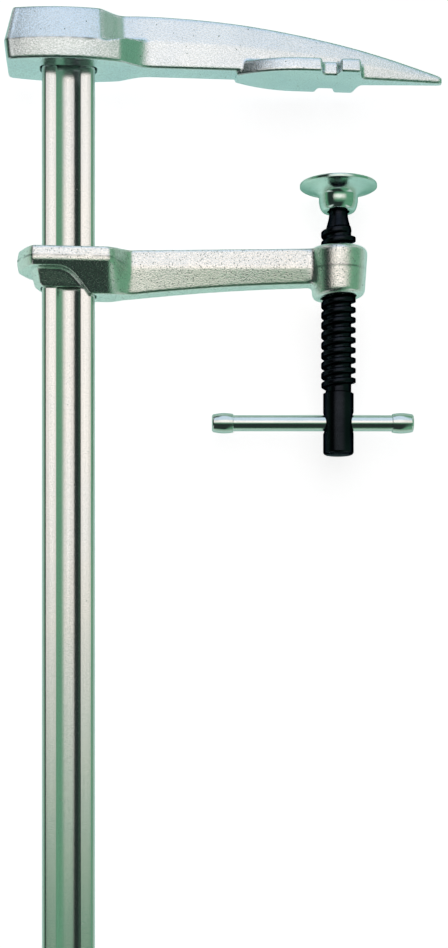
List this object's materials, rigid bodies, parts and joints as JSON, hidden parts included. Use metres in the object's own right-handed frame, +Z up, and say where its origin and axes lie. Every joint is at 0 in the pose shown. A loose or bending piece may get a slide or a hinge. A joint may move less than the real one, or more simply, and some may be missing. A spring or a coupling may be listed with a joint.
{
  "type": "rafter clamp",
  "caption": "Forged steel bar clamp with a long pointed fixed arm, a sliding arm, a trapezoidal screw with a pressure plate, and a sliding T-bar; lies flat.",
  "frame": {"origin": "the point of the fixed jaw's clamping face that lies on the screw's axis", "axes": "the clamp lies flat: +X from the rail towards the arms' tips, +Y along the rail towards the fixed arm, +Z up, across the clamp"},
  "size_m": [0.2511, 0.6848, 0.0444],
  "materials": {
    "rolled_zinc": "rolled steel, zinc plated, fine satin grain",
    "forged_zinc": "drop-forged steel, blasted and zinc plated, fine speckle",
    "bright_zinc": "turned steel, zinc plated, smooth",
    "black_oxide": "steel blackened with an oiled oxide finish"
  },
  "bodies": {
    "rail_and_fixed_arm": {"rail": "rolled_zinc", "fixed_arm": "forged_zinc"},
    "sliding_arm": {"sliding_arm": "forged_zinc"},
    "plate": {"pressure_plate": "bright_zinc"},
    "screw": {"spindle": "black_oxide"},
    "t_bar": {"tommy_bar": "bright_zinc", "tommy_bar_cap_left": "bright_zinc", "tommy_bar_cap_right": "bright_zinc"}
  },
  "joints": [
    {"name": "sliding_arm_slide", "type": "slide", "parent": "rail_and_fixed_arm", "child": "sliding_arm", "axis": [0, 1, 0], "range_m": [-0.52, 0.0045]},
    {"name": "screw_feed", "type": "slide", "parent": "sliding_arm", "child": "plate", "axis": [0, 1, 0], "range_m": [-0.0208, 0.0536]},
    {"name": "screw_turn", "type": "hinge", "parent": "plate", "child": "screw", "pos_m": [0, -0.0959, 0], "axis": [0, 1, 0], "range_deg": [-1290, 3325]},
    {"name": "t_bar_slide", "type": "slide", "parent": "screw", "child": "t_bar", "axis": [0.9969, 0, 0.0785], "range_m": [-0.0215, 0.0513]}
  ],
  "couplings": [
    {"joint": "screw_feed", "follows": "screw_turn", "m_per_rad": 0.0009231}
  ]
}
